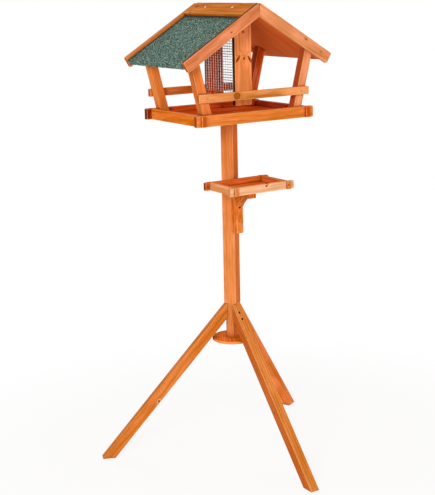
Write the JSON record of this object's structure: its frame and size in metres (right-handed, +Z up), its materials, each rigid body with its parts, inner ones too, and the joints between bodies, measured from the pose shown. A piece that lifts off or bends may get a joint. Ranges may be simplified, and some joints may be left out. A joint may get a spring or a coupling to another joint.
{
  "type": "bird table",
  "caption": "Free-standing wooden bird table: roofed tray with a wire mesh silo under a hinged roof half, a small bracketed tray below, on a square post with splayed legs.",
  "frame": {"origin": "centre of the footprint box, on the ground", "axes": "+Z up along the post, -Y towards the gable front with the small tray, +X towards the hinged half of the roof; the ridge runs along Y"},
  "size_m": [0.6294, 0.517, 1.1194],
  "materials": {
    "stained_wood": "orange-brown stained pine, satin",
    "roofing_felt": "green mineral-granule roofing felt, matt",
    "galvanised_wire": "galvanised welded wire",
    "zinc_steel": "zinc-plated steel"
  },
  "bodies": {
    "stand_and_house": {"stand_post": "stained_wood", "leg_front": "stained_wood", "leg_left": "stained_wood", "leg_rear": "stained_wood", "leg_front_screw_upper": "zinc_steel", "leg_front_screw_lower": "zinc_steel", "leg_left_screw_upper": "zinc_steel", "leg_left_screw_lower": "zinc_steel", "leg_rear_screw_upper": "zinc_steel", "leg_rear_screw_lower": "zinc_steel", "base_disc": "stained_wood", "bracket": "stained_wood", "bracket_screw_upper": "zinc_steel", "bracket_screw_lower": "zinc_steel", "small_tray_front_board": "stained_wood", "small_tray_rear_board": "stained_wood", "small_tray_left_board": "stained_wood", "small_tray_right_board": "stained_wood", "small_tray_floor": "stained_wood", "tray_front_board": "stained_wood", "tray_rear_board": "stained_wood", "tray_left_board": "stained_wood", "tray_right_board": "stained_wood", "tray_floor": "stained_wood", "head_plate": "stained_wood", "corner_post_front_left": "stained_wood", "corner_post_rear_left": "stained_wood", "corner_post_front_right": "stained_wood", "corner_post_rear_right": "stained_wood", "rail_front": "stained_wood", "rail_rear": "stained_wood", "silo_board_front": "stained_wood", "silo_board_rear": "stained_wood", "silo_mesh_left": "galvanised_wire", "silo_mesh_right": "galvanised_wire", "barge_front_left": "stained_wood", "barge_rear_left": "stained_wood", "roof_panel_left": "stained_wood", "roof_felt_left": "roofing_felt", "ridge_board_left": "stained_wood", "hinge_front_leaf_left": "zinc_steel", "hinge_rear_leaf_left": "zinc_steel", "hinge_front_pin": "zinc_steel", "hinge_rear_pin": "zinc_steel"},
    "lid": {"barge_front_right": "stained_wood", "barge_rear_right": "stained_wood", "roof_panel_right": "stained_wood", "roof_felt_right": "roofing_felt", "ridge_board_right": "stained_wood", "hinge_front_leaf_right": "zinc_steel", "hinge_rear_leaf_right": "zinc_steel"}
  },
  "joints": [
    {"name": "lid_hinge", "type": "hinge", "parent": "stand_and_house", "child": "lid", "pos_m": [0.00772, 0.08485, 1.1178], "axis": [0, -1, 0], "range_deg": [0, 125]}
  ]
}
